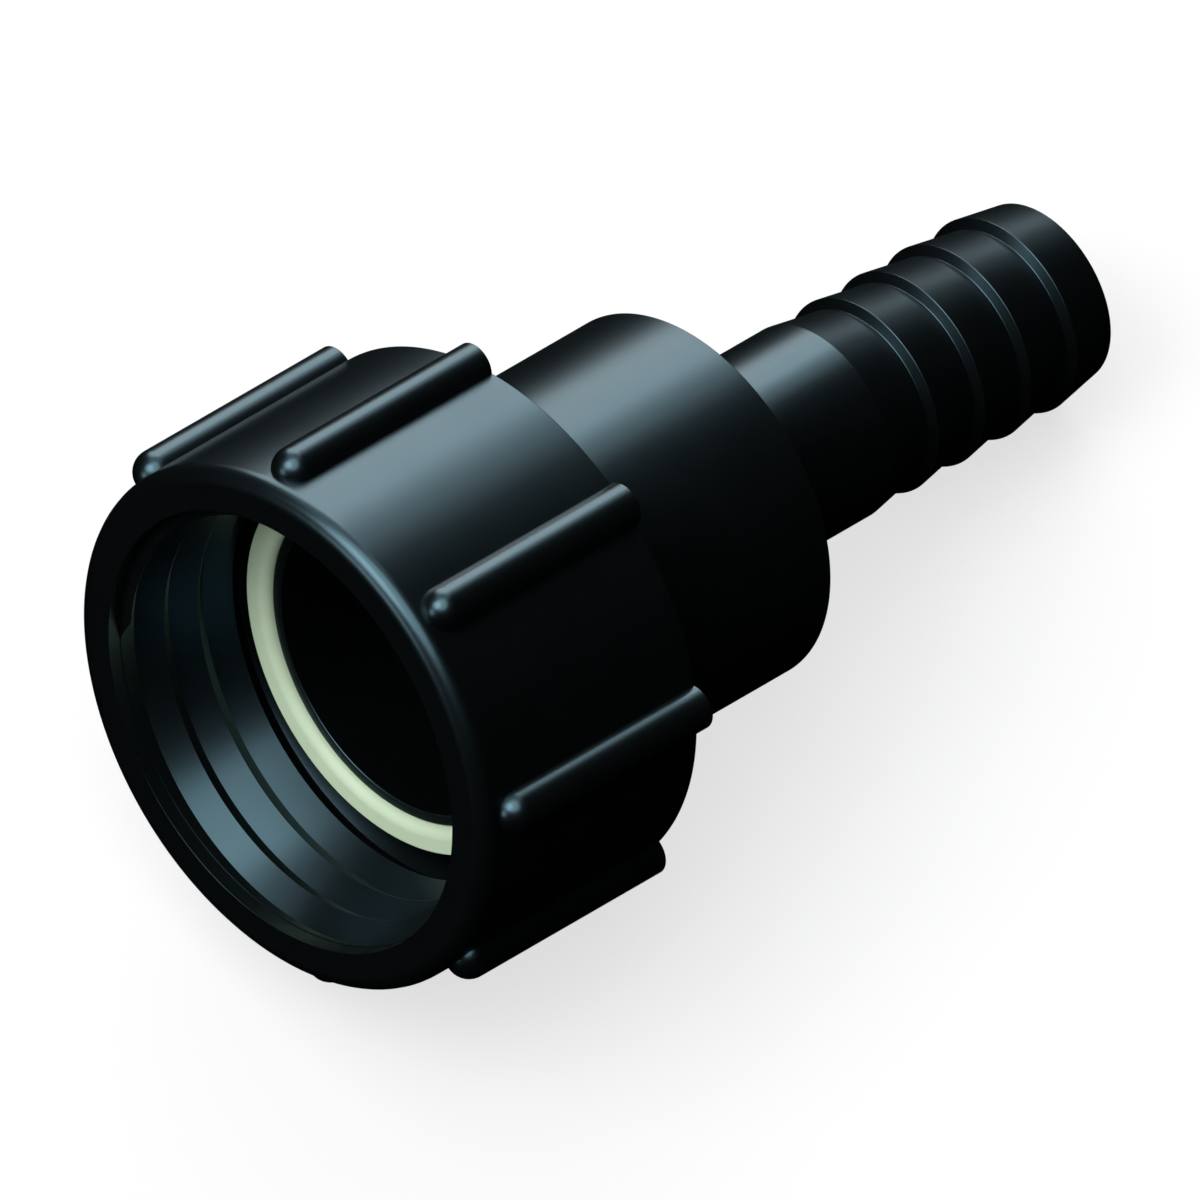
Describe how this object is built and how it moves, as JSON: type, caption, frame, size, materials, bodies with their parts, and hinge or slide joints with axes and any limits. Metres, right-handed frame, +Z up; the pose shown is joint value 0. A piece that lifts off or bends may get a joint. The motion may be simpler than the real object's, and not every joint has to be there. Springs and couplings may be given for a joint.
{
  "type": "hose barb fitting",
  "caption": "Straight plastic hose barb fitting with a swivelling union nut, coarse inner thread, grip ribs, flat gasket and a stepped hose tail.",
  "frame": {"origin": "on the table under the middle of the fitting's bounding box, as it lies at rest", "axes": "+X towards the barb tip, which points 14 degrees below it, +Z up"},
  "size_m": [0.1406, 0.072, 0.0782],
  "materials": {
    "nut_plastic": "satin",
    "tail_plastic": "satin",
    "gasket_rubber": "matte"
  },
  "bodies": {
    "tail": {"hose_tail": "tail_plastic", "flat_gasket": "gasket_rubber"},
    "nut": {"union_nut": "nut_plastic"}
  },
  "joints": [
    {"name": "nut_swivel", "type": "hinge", "parent": "tail", "child": "nut", "pos_m": [-0.02892, 0, 0.0357], "axis": [0.9704, 0, -0.2414], "continuous": true}
  ]
}
